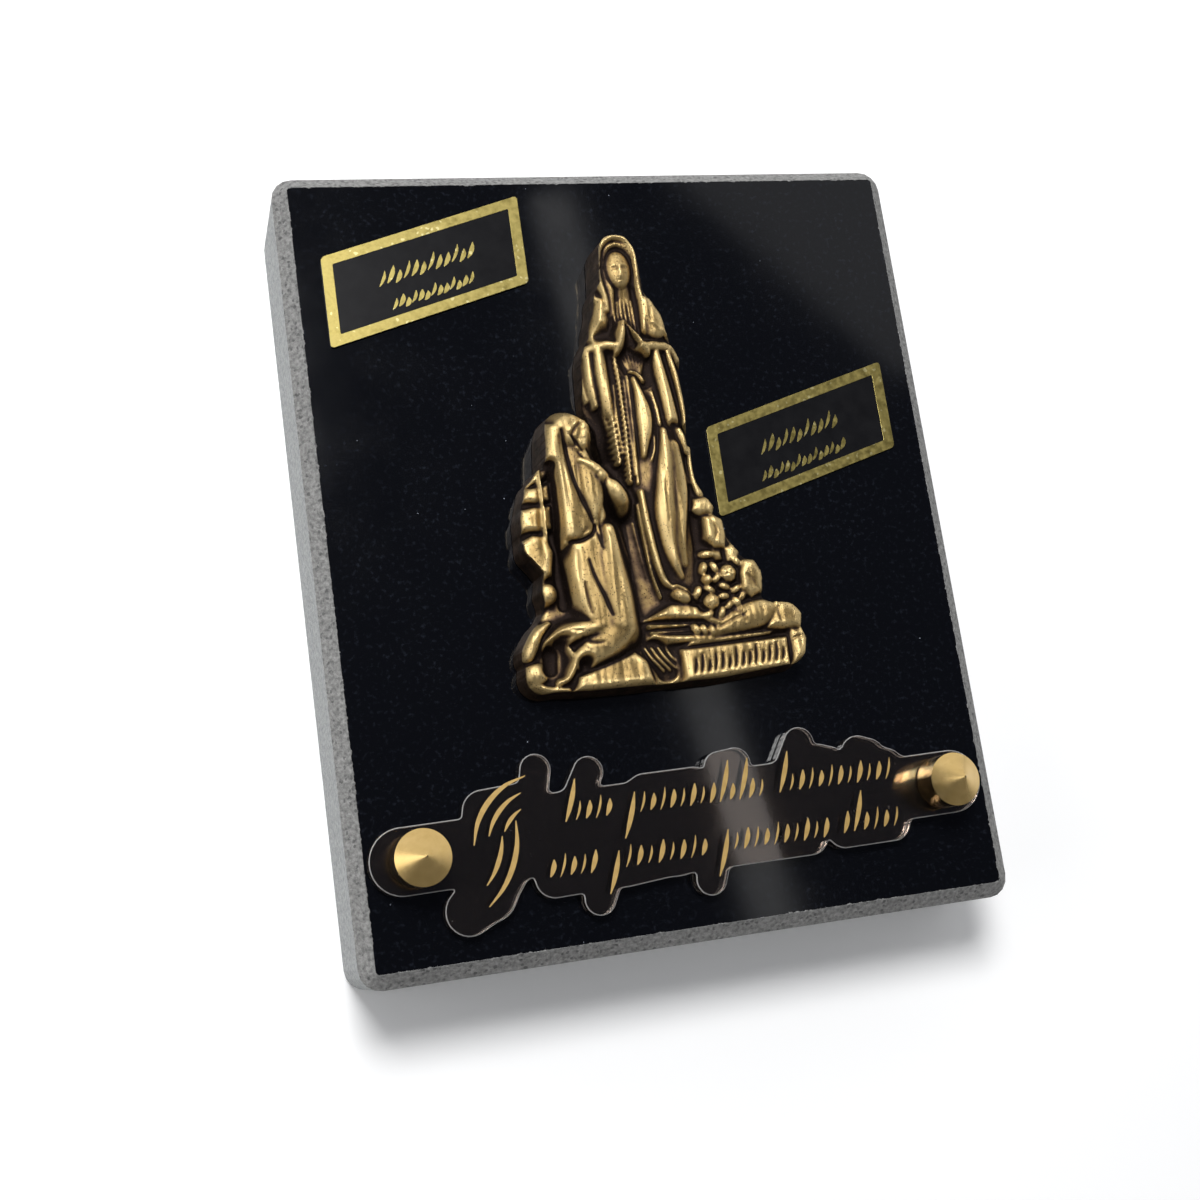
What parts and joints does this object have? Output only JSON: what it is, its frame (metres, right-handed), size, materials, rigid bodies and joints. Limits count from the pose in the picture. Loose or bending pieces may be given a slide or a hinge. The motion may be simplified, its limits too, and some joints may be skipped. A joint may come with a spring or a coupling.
{
  "type": "granite grave plaque",
  "caption": "Upright black granite memorial plaque with a cast bronze relief of two praying figures, a clear contour-cut plate on cap screws and foil labels",
  "frame": {"origin": "under the centre of the slab, on the surface that the plaque lies on", "axes": "+Z is the normal of the polished face, +Y is the top of the plaque, +X is its right side as seen from the front"},
  "size_m": [0.15, 0.18, 0.0458],
  "materials": {
    "granite": "polished black face, ground grey bevels and sides",
    "bronze": "antique cast bronze, dark in the hollows and rubbed bright on the high points",
    "acrylic": "clear polished acrylic with a contour-cut edge and gold strokes",
    "brass": "turned and lacquered brass",
    "foil": "black foil label with a gold frame and gold strokes"
  },
  "bodies": {
    "root": {"granite_slab": "granite", "bronze_relief": "bronze", "acrylic_plate": "acrylic", "left_cap_screw": "brass", "right_cap_screw": "brass", "left_foil_label": "foil", "right_foil_label": "foil"}
  },
  "joints": []
}
